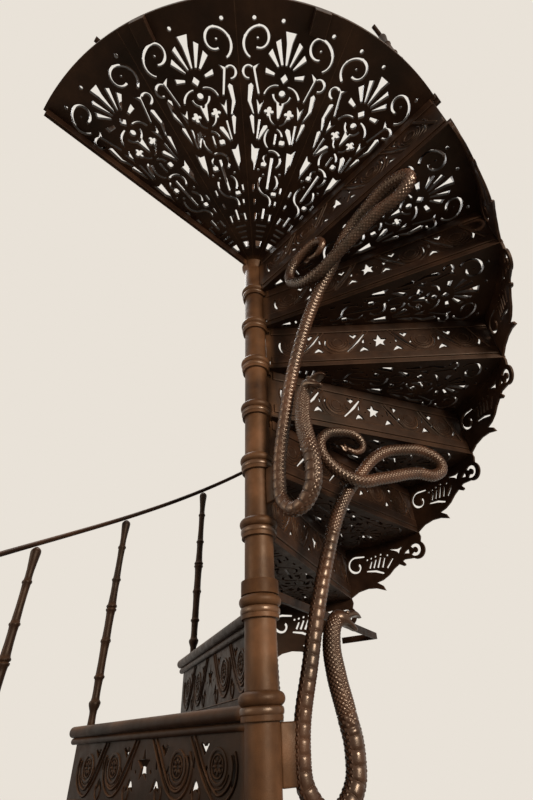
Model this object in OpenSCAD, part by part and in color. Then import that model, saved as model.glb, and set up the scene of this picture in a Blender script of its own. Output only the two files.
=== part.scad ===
// Cast-iron spiral stair, a pierced landing at its head and serpent brackets under it.
// Millimetres, +Z up. The origin is the centre of the newel's base flange, on the floor.
// The stair climbs clockwise, seen from above. The landing's front edge is at landing_angle.

/* [Flight] */
// Height from one tread to the next
rise = 200; // [180:1:215]
// Number of rises from the floor to the landing
rises = 16; // [12:1:16]
// Angle of one tread, in degrees
tread_turn = 22.5; // [21:0.5:24]
// Outer radius of the treads
stair_r = 914; // [850:1:960]
// Angle of the landing's front edge, in degrees from +X
landing_angle = -44; // [-60:1:-30]
// Number of pierced plates in the landing
landing_plates = 4; // [3:1:5]

/* [Castings] */
// Thickness of a tread's pierced plate
plate_t = 16; // [12:1:20]
// Thickness of a riser
riser_t = 8; // [6:1:12]
// Height of the bullnose at a tread's front edge
nose_h = 30; // [24:1:34]
// How far the bullnose stands out of the riser
nose_out = 24; // [16:1:30]
// Height of the small moulding under the bullnose
cove_h = 18; // [12:1:22]
// How far the small moulding stands out of the riser
cove_out = 13; // [8:1:15]
// Thickness of the curved brackets under the treads' outer ends
bracket_t = 8; // [6:1:12]

/* [Ornament] */
// Width of the pierced slots, as a share of the drawn one
pierce = 1.15; // [0.8:0.05:1.2]
// Height of the raised medallions on the risers' faces
relief_h = 3; // [1.5:0.5:5]

/* [Newel] */
// Outer diameter of the newel's hubs
newel_d = 78; // [70:1:86]
// Outer diameter of the ring at the head of each hub
ring_d = 106; // [98:1:114]
// Diameter of the core post inside the hubs
core_d = 44; // [36:1:50]
// Clearance round the core post
core_gap = 0.3; // [0.2:0.05:0.6]
// Diameter of the base flange
flange_d = 300; // [260:5:360]
// Thickness of the base flange
flange_t = 20; // [16:1:26]
// Diameter of the circle of bolt holes in the base flange
flange_pcd = 240; // [210:5:250]
// Diameter of the bolt holes in the base flange
bolt_d = 18; // [14:1:22]

/* [Railing] */
// Height of a baluster
baluster_h = 715; // [650:5:850]
// Largest diameter of a baluster
baluster_d = 40; // [32:1:44]
// Distance from a baluster's axis to the treads' outer edge
baluster_in = 30; // [26:1:40]
// Distance from a baluster's axis back to the riser's face
baluster_back = 28; // [24:1:36]
// Diameter of the handrail
rail_d = 24; // [18:1:32]
// Width of the lugs that carry the landing's rim
lug_w = 48; // [36:1:60]
// Number of balusters along the landing's open edge
guard_balusters = 5; // [3:1:6]

/* [Serpents] */
// Number of serpent brackets
serpents = 4; // [1:1:4]
// Number of rises from one serpent to the next
serpent_step = 3; // [3:1:5]
// Largest diameter of a serpent's body
serpent_d = 46; // [38:1:48]
// Height of the lug that ties a serpent to the newel
lug_h = 110; // [80:5:120]
// Thickness of that lug
lug_t = 14; // [10:1:20]

/* [Hidden] */

iron = [0.24, 0.17, 0.13];
$fn = 48;
newel_r = newel_d / 2;
ring_r = ring_d / 2;
bore_r = core_d / 2 + core_gap;
ring_minor = 14;
ring_rise = 6;
ring_top = ring_rise + ring_minor;
bracket_r = stair_r - 4;
seat = 0.3;
riser_r = bracket_r - bracket_t - seat;
landing_z = rises * rise;
landing_hub_r = newel_r + 4;
rail_r = stair_r - baluster_in;
slope = atan(rise / (rail_r * tread_turn * PI / 180));
ball_r = 11;
rail_z = baluster_h - ball_r + (ball_r + rail_d / 2 + seat) / cos(slope);
top_r = newel_r - 6;
boss_r = newel_r + 14;
boss_h = 16;
guard_in = 22;
guard_z = baluster_h + rail_d / 2 + seat;
stay_tread = 10;
stay_h = 22;
stay_t = 12;
stay_return = 150;
collar_h = 34;
lower = floor(rises / 2);
far = stair_r * 1.3;

// Name of tread number n, counted from the floor
function tread_name(n) = str("tread_", n < 10 ? "0" : "", n);

// Angle of riser number n, counted from the floor
function riser_angle(n) = landing_angle + (rises - n) * tread_turn;

module iron_colour() {
    color(iron) children();
}

module at_riser(n) {
    rotate([0, 0, riser_angle(n)]) translate([0, 0, n * rise]) children();
}

module wedge_2d(a0, a1, r) {
    intersection() {
        circle(r = r, $fn = 180);
        polygon([[0, 0], [far * cos(a0), far * sin(a0)], [far * cos(a1), far * sin(a1)]]);
    }
}

// Newel

module ring_profile(z) {
    translate([ring_r - ring_minor, z]) circle(r = ring_minor);
    translate([bore_r + 2, z - ring_minor]) square([ring_r - ring_minor - bore_r - 2, 2 * ring_minor]);
}

module hub_solid(z0, z1) {
    difference() {
        union() {
            translate([0, 0, z0]) cylinder(r = newel_r, h = z1 + ring_rise - z0);
            rotate_extrude() ring_profile(z1 + ring_rise);
            translate([0, 0, z1 - nose_h - 4]) cylinder(r = ring_r - 6, h = 14);
        }
        translate([0, 0, z0 - 1]) cylinder(r = bore_r, h = z1 + ring_top - z0 + 2);
    }
}

module base_flange() {
    iron_colour() difference() {
        union() {
            cylinder(d = flange_d, h = flange_t);
            cylinder(r = boss_r, h = flange_t + boss_h);
        }
        translate([0, 0, flange_t]) cylinder(r = bore_r, h = 20);
        for (k = [0 : 3]) {
            rotate([0, 0, 45 + 90 * k]) translate([flange_pcd / 2, 0, -1])
                cylinder(d = bolt_d, h = flange_t + 2);
        }
    }
}

module core_post() {
    iron_colour() translate([0, 0, flange_t]) cylinder(d = core_d, h = landing_z - flange_t);
}

// Ornament. The pierced pattern of a tread is drawn for one of 914 mm and scaled to its size.

// Point on a smooth curve between p1 and p2
function spline(p0, p1, p2, p3, t) = 0.5 * (
    2 * p1 + (p2 - p0) * t + (2 * p0 - 5 * p1 + 4 * p2 - p3) * t * t
    + (3 * p1 - p0 - 3 * p2 + p3) * t * t * t
);

// Smooth curve through the points p, with a number of cuts between one and the next
function smooth_path(p, cuts) = [
    for (j = [0 : len(p) - 2])
        for (c = [0 : cuts - 1])
            spline(p[max(j - 1, 0)], p[j], p[j + 1], p[min(j + 2, len(p) - 1)], c / cuts),
    p[len(p) - 1]
];

// Direction of a path of [x, y, half-width] at its point j
function heading(q, j) =
    let (d = q[min(j + 1, len(q) - 1)] - q[max(j - 1, 0)])
    [d[0], d[1]] / norm([d[0], d[1]]);

// Point beside such a path: along and across are shares of the half-width there
function beside(q, j, along, across) =
    let (d = heading(q, j))
    let (w = q[j][2] * pierce)
    [q[j][0] + w * (along * d[0] - across * d[1]), q[j][1] + w * (along * d[1] + across * d[0])];

// Outline of a stroke along such a path, with a pointed arch at each end
function stroke_outline(q) =
    let (last = len(q) - 1)
    concat(
        [beside(q, 0, -0.9, 0)],
        [for (j = [0 : last]) beside(q, j, 0, 1)],
        [beside(q, last, 0.9, 0)],
        [for (j = [last : -1 : 0]) beside(q, j, 0, -1)]
    );

// Straight square-ended stroke from a to b, both [x, y, half-width]
module bar(a, b) {
    q = [a, b];
    polygon([beside(q, 0, 0, 1), beside(q, 1, 0, 1), beside(q, 1, 0, -1), beside(q, 0, 0, -1)]);
}

// Curved stroke through points of [x, y, half-width]
module slot(p, cuts = 2) {
    polygon(stroke_outline(smooth_path(p, cuts)));
}

// Stroke along an arc round c
module arc(c, r, a0, a1, w) {
    reach = 2 * (r + w);
    third = (a1 - a0) / 3;
    translate(c) intersection() {
        difference() {
            circle(r = r + w * pierce, $fn = 64);
            circle(r = r - w * pierce, $fn = 64);
        }
        polygon(concat([[0, 0]], [for (k = [0 : 3]) reach * [cos(a0 + k * third), sin(a0 + k * third)]]));
    }
}

// Chain of arcs, each tangent to the next, with beads at the joints that aren't at a quarter turn:
// turns lists [angle where one ends, radius of the next]
module arc_chain(c, r, a0, turns, w) {
    a1 = turns[0][0];
    next = turns[0][1];
    arc(c, r, a0, a1, w);
    if (len(turns) > 1) {
        if (a1 % 90 != 0) dot(c + r * [cos(a1), sin(a1)], w + 0.8);
        rest = [for (k = [1 : len(turns) - 1]) turns[k]];
        arc_chain(c + (r - next) * [cos(a1), sin(a1)], next, a1, rest, w);
    }
}

// Two arcs that bend opposite ways, with a bead where they meet: round c from angle a, then
// round d to angle b
module s_curve(c, r, a, d, b, w) {
    u = atan2(d[1] - c[1], d[0] - c[0]);
    arc(c, r, u, a, w);
    arc(d, norm(d - c) - r, u + 180, b, w);
    dot(c + r * [cos(u), sin(u)], w + 0.8);
}

module dot(p, r) {
    translate(p) circle(r = r * pierce, $fn = 24);
}

module both_sides() {
    children();
    mirror([0, 1]) children();
}

// Small flower of four round lobes
module four_lobes(p) {
    for (a = [45 : 90 : 315]) dot([p[0] + 5.2 * cos(a), p[1] + 5.2 * sin(a)], 5.8);
}

// Petal of the palmette: at an angle, from one distance to another, widening outwards
module petal(a, d0, d1, w0, w1) {
    translate([723, 0]) rotate(a) polygon([
        [d0, -w0], [d0, w0], [d1 - 0.5 * w1, w1], [d1, -0.8 * w1]
    ]);
}

module palmette() {
    polygon([[708, 0], [723, 13], [738, 0], [723, -13]]);
    polygon([
        [757, -3], [757, 3], [815, 9], [843, 17], [843, -17], [815, -9]
    ]);
    both_sides() {
        petal(20, 35, 104, 3, 9);
        petal(40, 36, 88, 3, 10);
        petal(77, 33, 66, 5, 9);
        arc([682, 0], 29, 98, 172, 2.8);
        arc([662, 18], 40.6, -4, 79, 2.8);
    }
    dot([682, 0], 9);
}

// Corner scrolls with their eyes, and the thorned stems that rise to them
module rim_scrolls() {
    both_sides() {
        arc_chain([816, 92], 27, -195, [[13, 54], [66, 37], [160, 0]], 3.3);
        dot([813, 98], 3.2);
        polygon([[668, 71], [733, 94], [753, 84], [740, 104], [667, 77]]);
        arc([724, 115], 17, 28, 195, 3.2);
        arc([724, 115], 17, -40, 30, 3.2);
        slot([[608, 83, 1.6], [644, 102, 5], [690, 103, 7]], 1);
        polygon([[608, 68], [656, 80], [640, 68], [654, 56]]);
    }
    for (a = [8.5, -1.9, -7.6]) dot([865 * cos(a), 865 * sin(a)], 5.2);
}

// Tulip, trefoils, lilies and leaves between the palmette and the middle of the tread
module tulip() {
    polygon([[605, -3], [605, 3], [654, 13], [648, 0], [654, -13]]);
    both_sides() {
        for (p = [[614, 34], [624, 34], [624, 44], [624, 24]]) dot(p, 6);
        dot([633, 34], 6.5);
        arc([617, 1], 29, 100, 168, 2.2);
        bar([531, 62, 2.4], [597, 62, 3.2]);
        slot([[547, 75, 1.6], [602, 89, 6.4]], 1);
        slot([[530, 56, 1.6], [556, 48, 6], [577, 38, 7.6]], 1);
        polygon([
            [420, 58], [446, 62], [462, 72], [517, 79], [503, 66], [505, 50], [462, 54], [446, 56]
        ]);
        bar([297, 39, 3], [320, 41, 3.2]);
        bar([348, 51, 3], [376, 53, 3.2]);
    }
}

// The winding stem up the middle of the tread, of the same hand on each
module winding_stem() {
    four_lobes([533, 26]);
    arc([546, -6], 30, 12, 82, 2.8);
    arc([543, 5], 41, 215, 312, 2.9);
    bar([521, 0, 3], [561, 0, 3]);
    arc([470, -2], 33, 66, 140, 3.4);
    arc([470, -2], 33, -24, 62, 3.6);
    four_lobes([451, -26]);
    arc([474, -17], 13.5, 205, 350, 2.6);
    bar([358, 0, 3.4], [480, 0, 4.6]);
    for (p = [[424, 38], [415, -22], [431, -43]]) dot(p, 4.2);
    four_lobes([346, 28]);
    arc([388, -1], 36, 36, 138, 3);
    s_curve([309, -10], 31, 120, [383, 10], 299, 3.1);
}

// Bars and dashes towards the newel
module hub_bars() {
    bar([234, 0, 3.6], [285, 0, 3.6]);
    both_sides() {
        dot([261, 17], 3.8);
        bar([228, 28, 3], [264, 29, 3]);
    }
    for (q = [[162, 13], [187, 17], [212, 21]]) {
        translate([q[0] - 3.6, -q[1]]) square([7.2, 2 * q[1]]);
    }
    polygon([[107, -7], [107, 7], [141, 13], [141, -13]]);
}

module tread_pattern() {
    scale(stair_r / 914) {
        palmette();
        rim_scrolls();
        tulip();
        winding_stem();
        hub_bars();
    }
}

// Treads

module plate_2d() {
    difference() {
        union() {
            wedge_2d(0, -tread_turn, stair_r);
            intersection() {
                circle(r = stair_r, $fn = 180);
                rotate(-tread_turn) translate([0, -riser_t]) square([far, riser_t + 1]);
            }
        }
        circle(r = newel_r - 4);
        rotate(-tread_turn / 2) tread_pattern();
    }
}

module nosing() {
    rotate([90, 0, 90]) translate([0, 0, newel_r - 4]) linear_extrude(height = stair_r + 6 - newel_r + 4) {
        translate([nose_out - nose_h / 2, -nose_h / 2]) circle(d = nose_h);
        translate([-riser_t, -nose_h]) square([nose_out - nose_h / 2 + riser_t, nose_h]);
        intersection() {
            translate([cove_out - cove_h / 2, -nose_h - cove_h / 2]) circle(d = cove_h);
            translate([0, -nose_h - cove_h]) square([cove_out, cove_h + 1]);
        }
        translate([0, -nose_h - cove_h]) square([cove_out - cove_h / 2, cove_h + 1]);
    }
}

module tread(n) {
    iron_colour() difference() {
        union() {
            at_riser(n) translate([0, 0, -plate_t]) linear_extrude(height = plate_t) plate_2d();
            at_riser(n) nosing();
            hub_solid(n == 1 ? flange_t + boss_h : (n - 1) * rise + ring_top, n * rise);
        }
        translate([0, 0, (n - 1) * rise]) cylinder(r = bore_r, h = 2 * rise);
    }
}

// Risers

module riser_2d() {
    z1 = rise - nose_h;
    z2 = z1 - cove_h;
    polygon([
        [ring_r + 0.5, 0], [riser_r, 0], [riser_r, z1], [ring_r + 0.5, z1],
        [ring_r + 0.5, z2], [newel_r + seat, z2],
        [newel_r + seat, ring_top + 0.5], [ring_r + 0.5, ring_top + 0.5]
    ]);
}

// Pierced pattern of a riser, from the middle of its foot, drawn for a rise of 200 mm
module riser_pattern() {
    polygon([for (k = [0 : 9])
        let (r = k % 2 == 0 ? 33 : 14)
        [r * cos(90 + 36 * k), 97 + 1.12 * r * sin(90 + 36 * k)]
    ]);
    for (side = [0, 1]) mirror([side, 0]) {
        for (x = [97, 267]) translate([x, 125]) polygon([
            [-18, 9], [-8, 13], [0, 5], [8, 13], [18, 9], [0, -12]
        ]);
        for (x = [64, 235]) translate([x, 57]) polygon([
            [0, 15], [10, 6], [21, -14], [0, -4], [-21, -14], [-10, 6]
        ]);
        slot([[52, 139, 1.8], [84, 97, 4], [131, 46, 1.8]], 1);
        slot([[226, 139, 1.8], [254, 97, 4], [298, 48, 1.8]], 1);
        arc([160, 93], 47, -44, 24, 2.6);
        arc([320, 93], 60, -36, 20, 3);
        bar([60, 114, 2], [64, 88, 3.6]);
        bar([229, 114, 2], [226, 90, 3.6]);
        bar([106, 76, 1.6], [122, 93, 3.4]);
        bar([268, 78, 1.6], [280, 94, 3.4]);
        dot([38, 84], 3.4);
    }
}

// Ring in relief, raised from the face that it is drawn on
module medallion() {
    linear_extrude(height = relief_h) difference() {
        circle(r = 34);
        circle(r = 28);
    }
}

module riser(n) {
    middle = (newel_r + riser_r) / 2;
    size = min(stair_r / 914, rise / 200);
    rotate([0, 0, riser_angle(n)]) translate([0, 0, (n - 1) * rise]) rotate([90, 0, 0]) {
        linear_extrude(height = riser_t) difference() {
            riser_2d();
            if (n == 1) {
                square([flange_d / 2 + seat, flange_t]);
                square([boss_r + seat, flange_t + boss_h + seat]);
            }
            translate([middle, 0]) scale(size) riser_pattern();
        }
        for (x = [-320, -160, 160, 320]) translate([middle + x * size, 93 * size, 0])
            mirror([0, 0, 1]) medallion();
    }
}

module risers_from(first, last) {
    iron_colour() for (n = [first : last]) riser(n);
}

// Brackets under the outer ends of the treads

// Outline and slots of a bracket, rolled out flat and drawn for a run of 357 mm: x runs from the
// tread's rear corner to its front riser, y down from the tread's underside
module bracket_2d() {
    difference() {
        union() {
            polygon([
                [-8, 0], [348, 0], [348, -197], [312, -178], [270, -171], [232, -175],
                [191, -191], [200, -170], [224, -153], [196, -148], [165, -134], [138, -114],
                [112, -101], [92, -113], [82, -111], [82, -105], [92, -92], [82, -88],
                [22, -95], [10, -64], [-6, -34], [-12, -16]
            ]);
            translate([18, -64]) circle(r = 36.5);
        }
        arc([26, -62], 18, 45, 325, 6);
        polygon([[55, -51], [66, -55], [80, -64], [56, -70]]);
        polygon([[80, -33], [107, -38], [147, -31], [122, -42], [109, -49], [103, -60], [96, -47]]);
        for (p = [[157, -53], [187, -44], [212, -47], [233, -51], [252, -54]]) dot(p, 3.8);
        bar([135, -72, 2.8], [167, -104, 4]);
        bar([171, -61, 2.8], [188, -98, 4]);
        bar([190, -55, 3], [209, -95, 4.2]);
        bar([212, -60, 3], [228, -93, 4]);
        bar([233, -65, 2.8], [246, -91, 4]);
        slot([[187, -122, 2.8], [222, -107, 4], [261, -101, 2.8]], 1);
        bar([262, -38, 3], [304, -34, 4]);
        arc_chain([304, -68], 34, 91, [[0, 30], [-90, 20], [-180, 13], [-240, 0]], 4);
    }
}

// The lowest one is cut off at the floor and stands on it
module bracket(n) {
    mid = riser_angle(n) - tread_turn / 2;
    run = bracket_r * tread_turn * PI / 180;
    drop = min(rise, n * rise - plate_t);
    translate([0, 0, n * rise - plate_t]) intersection() {
        difference() {
            translate([0, 0, -drop]) cylinder(r = bracket_r, h = drop, $fn = 180);
            translate([0, 0, -drop - 1]) cylinder(r = bracket_r - bracket_t, h = drop + 2, $fn = 180);
        }
        rotate([0, 0, mid]) translate([stair_r - 120, 0, 0]) rotate([90, 0, 90])
            linear_extrude(height = 200) translate([-run / 2, 0])
                scale(min(run / 357, rise / 200)) bracket_2d();
    }
}

module brackets_from(first, last) {
    iron_colour() for (n = [first : last]) bracket(n);
}

// Landing

module landing_plate(k) {
    iron_colour() {
        rotate([0, 0, landing_angle - (k - 1) * tread_turn]) translate([0, 0, landing_z - plate_t])
            linear_extrude(height = plate_t) difference() {
                wedge_2d(0, -tread_turn, stair_r);
                circle(r = landing_hub_r);
                rotate(-tread_turn / 2) tread_pattern();
            }
        if (k == 1) {
            rotate([0, 0, landing_angle]) translate([0, 0, landing_z]) intersection() {
                nosing();
                translate([ring_r + 0.5, -100, -100]) cube([far, 200, 200]);
            }
        }
    }
}

module landing_hub() {
    iron_colour() difference() {
        union() {
            translate([0, 0, landing_z - rise + ring_top]) cylinder(r = newel_r, h = rise - ring_top);
            translate([0, 0, landing_z - plate_t - 30]) cylinder(r1 = newel_r, r2 = ring_r, h = 30);
            translate([0, 0, landing_z - plate_t]) cylinder(r = landing_hub_r - seat, h = plate_t);
        }
        translate([0, 0, landing_z - rise]) cylinder(r = bore_r, h = 2 * rise);
    }
}

module landing_edge_bar() {
    iron_colour() rotate([0, 0, landing_angle - landing_plates * tread_turn])
        translate([ring_r + 2, 0, landing_z - plate_t - 30]) cube([stair_r - ring_r - 12, 12, 30]);
}

module landing_bearers() {
    iron_colour() for (a = [0.32, 0.7]) {
        rotate([0, 0, landing_angle - a * landing_plates * tread_turn])
            translate([stair_r - 1.25 * lug_w, -lug_w / 2, landing_z - plate_t - nose_h])
                cube([1.25 * lug_w, lug_w, nose_h]);
    }
}

module newel_top() {
    iron_colour() translate([0, 0, landing_z]) {
        translate([0, 0, 0]) cylinder(r = newel_r + 10, h = 14);
        cylinder(r = top_r, h = guard_z + 30);
        translate([0, 0, guard_z + 30]) cylinder(r = newel_r, h = 12);
        translate([0, 0, guard_z + 66]) sphere(r = 32);
    }
}

// Railing

// Profile of a baluster of 40 mm and 715 mm: a jointed stem that swells between its rings
baluster_profile = [
    [0, 0], [14, 0], [14, 36], [18, 40], [18, 50], [15, 58], [16, 150], [18, 152], [18, 158], [14, 160],
    [16, 250], [19, 252], [19, 260], [13, 262], [16, 340], [20, 344], [20, 352], [16, 356], [13, 440],
    [18, 444], [18, 452], [12, 456], [12, 540], [15, 544], [15, 550], [11, 554], [11, 640], [14, 646],
    [14, 652], [9, 656]
];

module baluster() {
    top = baluster_h - ball_r;
    wide = baluster_d / 40;
    tall = baluster_h / 715;
    translate([0, 0, top]) sphere(r = ball_r);
    rotate_extrude() polygon(concat(
        [for (q = baluster_profile) [q[0] * wide, q[1] * tall]],
        [[9 * wide, top], [0, top]]
    ));
}

module stair_baluster(n) {
    at_riser(n) translate([rail_r, -baluster_back, 0]) baluster();
}

module balusters_from(first, last) {
    iron_colour() for (n = [first : last]) stair_baluster(n);
}

module guard_balusters_row() {
    iron_colour() rotate([0, 0, landing_angle - landing_plates * tread_turn])
        for (k = [1 : guard_balusters]) {
            translate([newel_r + (rail_r - newel_r) * k / guard_balusters, guard_in, landing_z])
                baluster();
        }
}

// Points of a circle of radius r in the plane of a and b, round the point p
function ring_points(p, a, b, r, count) = [
    for (k = [0 : count - 1]) p + r * cos(360 * k / count) * a + r * sin(360 * k / count) * b
];

// Faces of a tube of rings, each of count points
function tube_faces(rings, count) = concat(
    [[for (k = [0 : count - 1]) k]],
    [for (j = [0 : rings - 2]) for (k = [0 : count - 1])
        [j * count + k, (j + 1) * count + k, (j + 1) * count + (k + 1) % count, j * count + (k + 1) % count]],
    [[for (k = [count - 1 : -1 : 0]) (rings - 1) * count + k]]
);

module handrail() {
    back = atan(baluster_back / rail_r);
    a0 = riser_angle(1) - back + 3;
    a1 = riser_angle(rises) - back - 3;
    steps = 54;
    pts = [for (j = [0 : steps])
        let (a = a0 + (a1 - a0) * j / steps)
        let (z = rise + rail_z + (riser_angle(1) - back - a) / tread_turn * rise)
        let (out = [cos(a), sin(a), 0])
        let (up = [sin(a) * sin(slope) * -1, cos(a) * sin(slope), cos(slope)])
        each ring_points([rail_r * cos(a), rail_r * sin(a), z], out, up, rail_d / 2, 8)];
    iron_colour() polyhedron(points = pts, faces = tube_faces(steps + 1, 8));
}

module guard_rail() {
    x0 = sqrt(pow(top_r, 2) - pow(guard_in - rail_d / 2, 2)) + seat;
    iron_colour() rotate([0, 0, landing_angle - landing_plates * tread_turn])
        translate([x0, guard_in, landing_z + guard_z]) rotate([0, 90, 0])
            cylinder(d = rail_d, h = rail_r + 30 - x0);
}

// Serpents

// Path of a serpent in its upright plane: distance from the newel's axis, height below the
// tread it carries, distance out of the plane, and radius, as shares of a rise and of serpent_d
serpent_path = [
    [1.60, -0.42, -0.09, 0.10], [1.78, -0.46, -0.09, 0.16], [1.93, -0.30, -0.09, 0.20],
    [1.82, -0.12, -0.09, 0.24], [1.50, -0.10, -0.09, 0.28], [1.20, -0.22, -0.09, 0.32],
    [1.08, -0.46, -0.09, 0.35], [1.24, -0.80, -0.10, 0.38], [1.68, -1.02, -0.12, 0.40],
    [2.20, -0.90, -0.10, 0.41], [3.00, -0.66, -0.05, 0.42], [3.48, -0.60, 0.0, 0.42],
    [3.68, -0.38, 0.0, 0.42], [3.46, -0.16, 0.0, 0.42], [2.80, -0.16, 0.05, 0.42],
    [2.36, -0.32, 0.08, 0.42], [1.86, -0.82, 0.11, 0.42], [1.48, -1.30, 0.08, 0.42],
    [0.98, -2.38, 0.0, 0.44], [0.63, -3.52, -0.02, 0.45], [0.45, -4.38, 0.0, 0.45], [0.50, -4.72, 0.0, 0.46],
    [0.76, -4.90, 0.0, 0.48], [1.02, -4.74, 0.0, 0.50], [1.10, -4.42, 0.0, 0.50],
    [1.05, -4.06, 0.0, 0.50], [0.98, -3.66, 0.02, 0.50], [0.98, -3.30, 0.05, 0.46],
    [1.06, -3.08, 0.05, 0.44], [1.22, -3.00, 0.05, 0.40], [1.42, -3.06, 0.05, 0.16]
];

module serpent(k) {
    n = rises - (k - 1) * serpent_step;
    sides = 8;
    line = smooth_path(serpent_path, 2);
    last = len(line) - 1;
    pts = [for (j = [0 : last])
        let (q = line[j])
        let (d = line[min(j + 1, last)] - line[max(j - 1, 0)])
        let (m = norm([d[0], d[1]]))
        let (side = [-d[1] / m, 0, d[0] / m])
        each ring_points([q[0] * rise, q[2] * rise, q[1] * rise], side, [0, -1, 0],
            q[3] * serpent_d, sides)];
    lug_z = plate_t - 4 * rise - nose_h - 6 - lug_h;
    iron_colour() rotate([0, 0, riser_angle(n)]) translate([0, 0, (n - 1) * rise - plate_t]) {
        polyhedron(points = pts, faces = tube_faces(last + 1, sides));
        translate([newel_r + seat, -lug_t / 2, lug_z])
            cube([0.45 * rise - newel_r, lug_t, lug_h]);
    }
}

// Flat stay from a collar on the newel to the rim of the tenth tread, where it turns along it

module stay_bar() {
    z = (stay_tread - 1) * rise + ring_top + seat;
    edge = (collar_h - stay_h) / 2;
    iron_colour() {
        difference() {
            translate([0, 0, z]) cylinder(r = newel_r + 9, h = collar_h);
            translate([0, 0, z - 1]) cylinder(r = newel_r + seat, h = collar_h + 2);
        }
        rotate([0, 0, riser_angle(stay_tread + 1) - 5]) translate([0, -stay_t / 2, z + edge]) {
            translate([newel_r + 6, 0, 0]) cube([stair_r - newel_r + 6, stay_t, stay_h]);
            translate([stair_r + 6, 0, 0]) cube([stay_t / 2, stay_return, stay_h]);
        }
    }
}

base_flange();
core_post();
for (n = [1 : rises - 1]) {
    tread(n);
}
risers_from(1, lower);  // risers_lower
risers_from(lower + 1, rises);  // risers_upper
brackets_from(1, lower);  // outer_brackets_lower
brackets_from(lower + 1, rises - 1);  // outer_brackets_upper
for (k = [1 : serpents]) {
    serpent(k);
}
stay_bar();
landing_hub();
for (k = [1 : landing_plates]) {
    landing_plate(k);
}
landing_edge_bar();
landing_bearers();
newel_top();
balusters_from(1, lower);  // balusters_lower
balusters_from(lower + 1, rises);  // balusters_upper
guard_balusters_row();  // guard_balusters
handrail();
guard_rail();
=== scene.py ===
"""Dresses the cast-iron spiral stair: finishes, scaled serpents, relief, balusters, stage and camera."""

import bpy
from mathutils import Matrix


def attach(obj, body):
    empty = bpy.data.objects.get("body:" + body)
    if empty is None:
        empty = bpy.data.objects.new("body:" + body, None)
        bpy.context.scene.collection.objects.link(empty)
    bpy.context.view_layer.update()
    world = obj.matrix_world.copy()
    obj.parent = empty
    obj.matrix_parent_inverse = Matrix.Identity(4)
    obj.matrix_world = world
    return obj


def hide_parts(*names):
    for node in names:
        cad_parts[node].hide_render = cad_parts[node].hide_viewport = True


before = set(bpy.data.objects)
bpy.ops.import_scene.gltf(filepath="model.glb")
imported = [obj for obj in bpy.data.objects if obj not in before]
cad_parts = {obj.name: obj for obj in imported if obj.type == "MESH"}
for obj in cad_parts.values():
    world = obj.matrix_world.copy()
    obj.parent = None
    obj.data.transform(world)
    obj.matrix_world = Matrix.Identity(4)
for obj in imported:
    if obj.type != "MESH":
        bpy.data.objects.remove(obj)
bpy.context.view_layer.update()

import math

import bmesh
import bpy
from mathutils import Matrix, Vector

bl_info = {
    "name": "Cast-iron spiral stair",
    "version": (1, 0, 0),
    "blender": (4, 5, 0),
    "location": "3D View > Sidebar > Stair",
    "description": "Finishes and cast detail for a spiral stair with serpent brackets",
    "category": "Object",
}

# Sizes that the source of the solids gives, in metres and degrees
RISE = 0.2  # from one tread to the next
RISES = 16  # from the floor to the landing
TREAD_TURN = 22.5
STAIR_R = 0.914  # outer radius of the treads
LANDING_ANGLE = -44.0  # of the landing's front edge, from +X
PLATE_T = 0.016  # thickness of a tread's pierced plate
NOSE_H = 0.030  # height of a bullnose
NEWEL_R = 0.039
RAIL_R = STAIR_R - 0.030  # where the balusters and the rail stand
BALUSTER_H = 0.715
BALUSTER_BACK = 0.028  # from the riser's face back to a baluster's middle
GUARD_IN = 0.022  # from the landing's open edge in to its guard
BALL_R = 0.011  # rounding of a baluster's top
SEAT = 0.0003  # play between a baluster and the rail
LUG_H = 0.110  # height of the lug that ties a serpent to the newel
LUG_T = 0.014  # thickness of that lug


def riser_angle(n):
    """Angle of riser number n, counted from the floor, in degrees."""
    return LANDING_ANGLE + (RISES - n) * TREAD_TURN


def linear(code):
    """Linear RGBA of an sRGB hex colour."""
    parts = [int(code[k:k + 2], 16) / 255 for k in (1, 3, 5)]
    return [c / 12.92 if c <= 0.04045 else ((c + 0.055) / 1.055) ** 2.4 for c in parts] + [1.0]


def add_node(tree, kind, links=None, inputs=None, **settings):
    """Adds a shader node with its settings, its inputs' values and the links into it."""
    new = tree.nodes.new(kind)
    for name, value in settings.items():
        setattr(new, name, value)
    for name, value in (inputs or {}).items():
        new.inputs[name].default_value = value
    for name, source in (links or {}).items():
        tree.links.new(source, new.inputs[name])
    return new


def new_material(name):
    """New node material: the material, its node tree and its shader."""
    material = bpy.data.materials.new(name)
    material.use_nodes = True
    return material, material.node_tree, material.node_tree.nodes["Principled BSDF"]


# Sockets of a Mix node of colours: the factor, the two colours and the result
FACTOR, FIRST, SECOND, MIXED = 0, 6, 7, 2
# Near the newel's axis, in metres, the paint takes the handled tones all over up to the first and not past
# the second: faded by hands, and lighter partly as painted light
FADED_LIT_R = (0.056, 0.075)


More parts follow.
